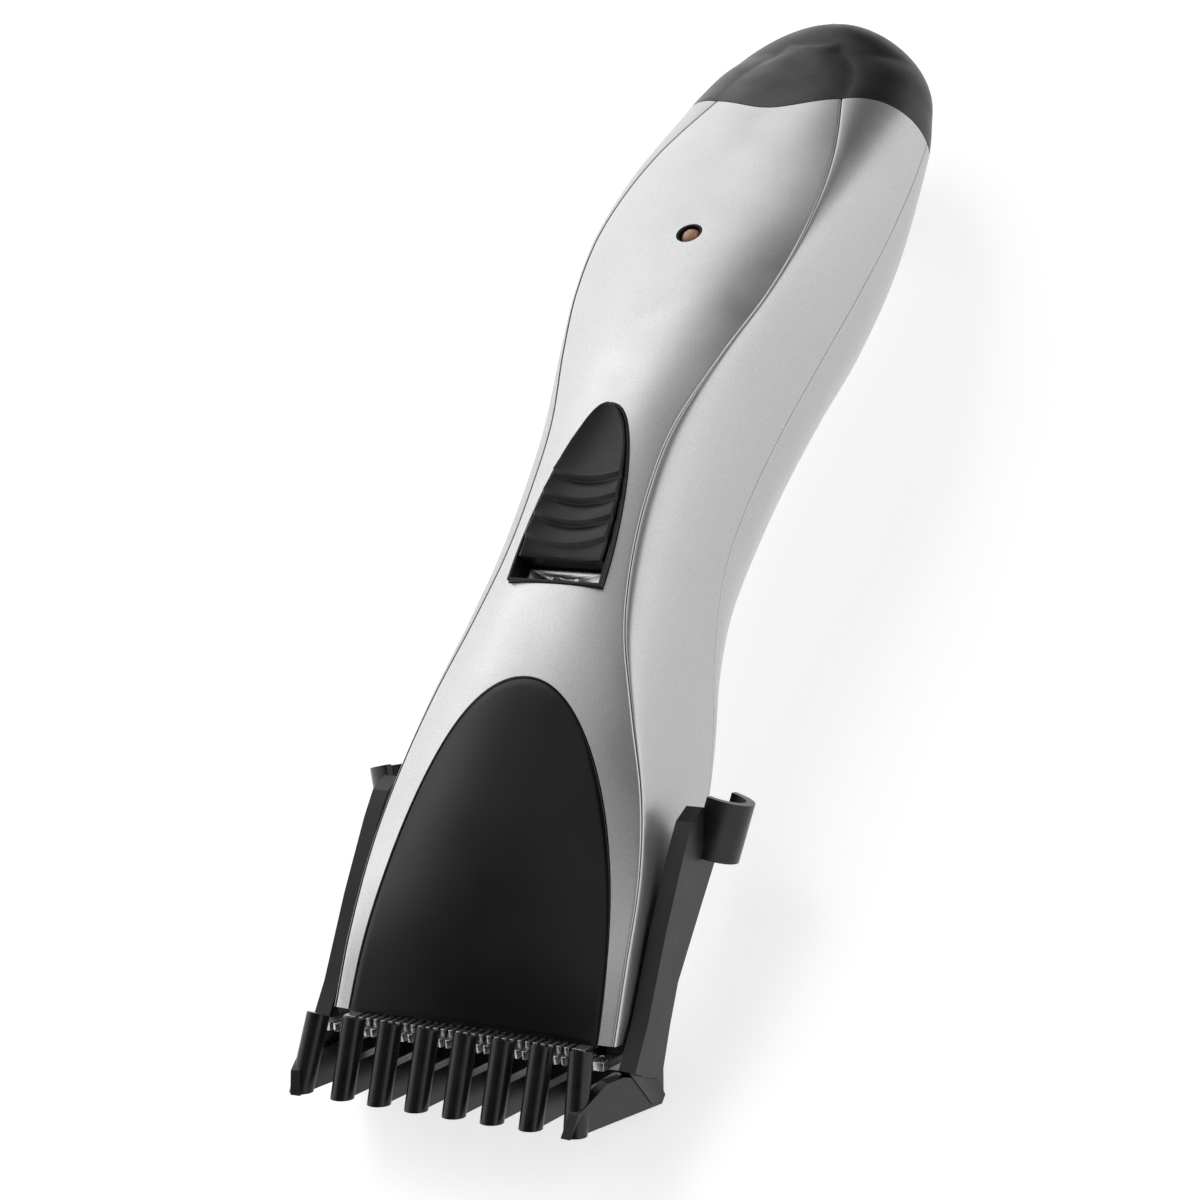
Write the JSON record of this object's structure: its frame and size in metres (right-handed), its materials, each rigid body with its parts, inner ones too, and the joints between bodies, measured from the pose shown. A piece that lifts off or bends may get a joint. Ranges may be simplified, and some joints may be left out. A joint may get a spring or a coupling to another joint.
{
  "type": "cordless hair clipper",
  "caption": "Cordless hair clipper with a slide switch, a charge lamp, a reciprocating toothed blade and a sliding guide comb, lying on its back.",
  "frame": {"origin": "centre of the length and width, on the table plane that the clipper lies on", "axes": "+Y from the comb to the tail cap, +Z out of the front face away from the table, +X to the right when the front face is seen with the tail up"},
  "size_m": [0.0562, 0.1828, 0.0384],
  "materials": {
    "silver_front": "satin silver paint on ABS",
    "silver_shell": "satin silver paint on ABS",
    "black_gloss": "high gloss black",
    "black_satin": "satin black",
    "comb_black": "smooth satin black nylon",
    "label_silver": "brushed foil",
    "amber_lens": "amber tinted lens",
    "white_nylon": "natural nylon",
    "nickel": "bright zinc or nickel plate",
    "brass_pin": "plain brass and copper contacts",
    "board_green": "solder mask on glass laminate",
    "component_black": "moulded components",
    "cell_wrap": null,
    "wire_red": "soft insulation",
    "wire_black": "soft insulation",
    "motor_steel": "zinc plated can",
    "ferrite": "matt sintered ferrite",
    "copper_winding": "enamelled copper wire on laminations",
    "blade_steel": "ground stainless steel",
    "cutter_steel": "ground carbon steel"
  },
  "bodies": {
    "housing": {"front_cover": "silver_front", "nose_panel": "black_gloss", "front_housing": "silver_shell", "rear_housing": "silver_shell", "tail_cap": "black_satin", "switch_bezel": "black_satin", "switch_label": "label_silver", "slide_switch": "nickel", "led_holder": "black_satin", "led": "amber_lens", "circuit_board": "board_green", "board_components": "component_black", "battery_cells": "cell_wrap", "battery_tabs": "nickel", "charge_socket": "black_satin", "charge_pin": "brass_pin", "red_wires": "wire_red", "black_wires": "wire_black", "chassis": "white_nylon", "motor_can": "motor_steel", "motor_magnets": "ferrite", "motor_end_cap": "white_nylon", "motor_terminals": "brass_pin", "motor_screws": "nickel", "fixed_blade": "blade_steel", "blade_holder": "black_satin", "blade_screws": "nickel", "blade_spring": "nickel", "case_screw": "nickel"},
    "power_switch": {"switch_knob": "black_satin", "switch_actuator": "white_nylon"},
    "motor_rotor": {"motor_shaft": "blade_steel", "motor_armature": "copper_winding", "motor_commutator": "brass_pin", "eccentric_cam": "white_nylon"},
    "cutter": {"moving_blade": "cutter_steel", "drive_carrier": "white_nylon"},
    "comb": {"guide_comb": "comb_black"}
  },
  "joints": [
    {"name": "switch_slide", "type": "slide", "parent": "housing", "child": "power_switch", "axis": [0, -0.9914, -0.1305], "range_m": [0, 0.003]},
    {"name": "motor_spin", "type": "hinge", "parent": "housing", "child": "motor_rotor", "pos_m": [0, -0.07045, 0.0091], "axis": [0, 0.9781, 0.2079], "continuous": true},
    {"name": "blade_slide", "type": "slide", "parent": "housing", "child": "cutter", "axis": [1, 0, 0], "range_m": [-0.0008, 0.0008]},
    {"name": "comb_slide", "type": "slide", "parent": "housing", "child": "comb", "axis": [0, -0.9781, -0.2079], "range_m": [0, 0.012]}
  ]
}
